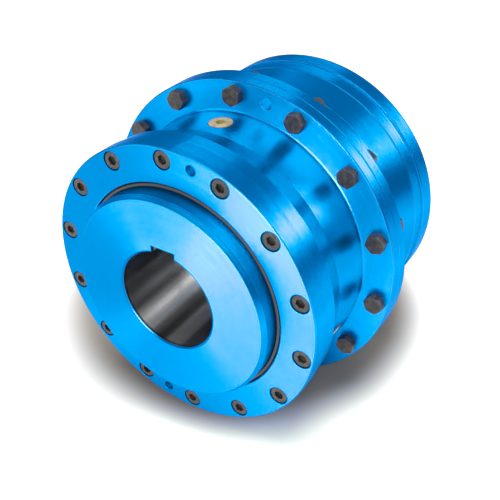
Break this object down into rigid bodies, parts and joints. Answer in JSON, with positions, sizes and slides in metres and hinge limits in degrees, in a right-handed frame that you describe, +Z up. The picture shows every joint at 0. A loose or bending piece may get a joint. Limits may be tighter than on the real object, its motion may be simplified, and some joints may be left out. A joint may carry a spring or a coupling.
{
  "type": "gear coupling",
  "caption": "Flanged double gear coupling that joins two keyed shafts end to end: toothed hubs in two bolted sleeves with end covers and seals.",
  "frame": {"origin": "on the shaft line, in the plane where the two flanges meet; the centre of the whole coupling", "axes": "+X along the shaft line from the near half (the one facing the camera in the picture) to the far half, +Z up through both keyways, +Y completes a right-handed set"},
  "size_m": [0.4, 0.457, 0.4569],
  "materials": {
    "blue_paint": "glossy metallic paint",
    "black_steel": "black oxide, edges a little worn",
    "seal_rubber": "satin",
    "plug_brass": "turned, a little dull",
    "washer_copper": "plain annealed copper"
  },
  "bodies": {
    "near_hub": {"near_hub": "blue_paint"},
    "near_seal": {"near_hub_seal": "seal_rubber"},
    "sleeve_assembly": {"near_sleeve": "blue_paint", "far_sleeve": "blue_paint", "near_end_cover": "blue_paint", "far_end_cover": "blue_paint", "near_cover_o_ring": "seal_rubber", "far_cover_o_ring": "seal_rubber", "flange_o_ring": "seal_rubber", "flange_bolts": "black_steel", "flange_nuts": "black_steel", "flange_washers": "black_steel", "near_cover_screws": "black_steel", "far_cover_screws": "black_steel", "near_lube_plugs": "plug_brass", "far_lube_plugs": "plug_brass", "near_plug_washers": "washer_copper", "far_plug_washers": "washer_copper"},
    "far_seal": {"far_hub_seal": "seal_rubber"},
    "far_hub": {"far_hub": "blue_paint"}
  },
  "joints": [
    {"name": "near_float", "type": "slide", "parent": "near_hub", "child": "near_seal", "axis": [1, 0, 0], "range_m": [-0.003, 0.003]},
    {"name": "near_tilt", "type": "hinge", "parent": "near_seal", "child": "sleeve_assembly", "pos_m": [-0.095, 0, 0], "axis": [0, 1, 0], "range_deg": [-0.75, 0.75]},
    {"name": "far_tilt", "type": "hinge", "parent": "sleeve_assembly", "child": "far_seal", "pos_m": [0.095, 0, 0], "axis": [0, 1, 0], "range_deg": [-0.75, 0.75]},
    {"name": "far_float", "type": "slide", "parent": "far_seal", "child": "far_hub", "axis": [1, 0, 0], "range_m": [-0.003, 0.003]}
  ]
}
